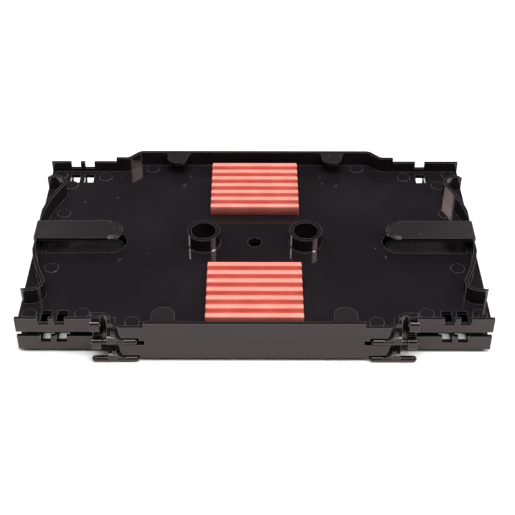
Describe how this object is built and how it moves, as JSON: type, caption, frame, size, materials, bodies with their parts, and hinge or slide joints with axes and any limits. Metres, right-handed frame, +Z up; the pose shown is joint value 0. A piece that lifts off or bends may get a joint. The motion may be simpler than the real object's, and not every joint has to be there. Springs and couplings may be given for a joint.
{
  "type": "fibre splice tray",
  "caption": "Hinged pair of stacked fibre splice trays with curled guide walls, long holding tongues, hollow posts and ribbed soft splice holders",
  "frame": {"origin": "centre hole of the lower tray, on its flat underside", "axes": "+X along the length, to the right as seen from the hinged front edge; +Y to the back edge; +Z up through the stack"},
  "size_m": [0.16, 0.1005, 0.0192],
  "materials": {
    "tray_plastic": "black moulded ABS, polished floor with faint flow marks",
    "holder_rubber": "salmon pink silicone rubber, satin"
  },
  "bodies": {
    "lower": {"lower_tray": "tray_plastic", "lower_back_splice_holder": "holder_rubber", "lower_front_splice_holder": "holder_rubber"},
    "upper": {"upper_tray": "tray_plastic", "upper_back_splice_holder": "holder_rubber", "upper_front_splice_holder": "holder_rubber"}
  },
  "joints": [
    {"name": "tray_hinge", "type": "hinge", "parent": "lower", "child": "upper", "pos_m": [0, -0.04905, 0.00755], "axis": [1, 0, 0], "range_deg": [0, 90]}
  ]
}
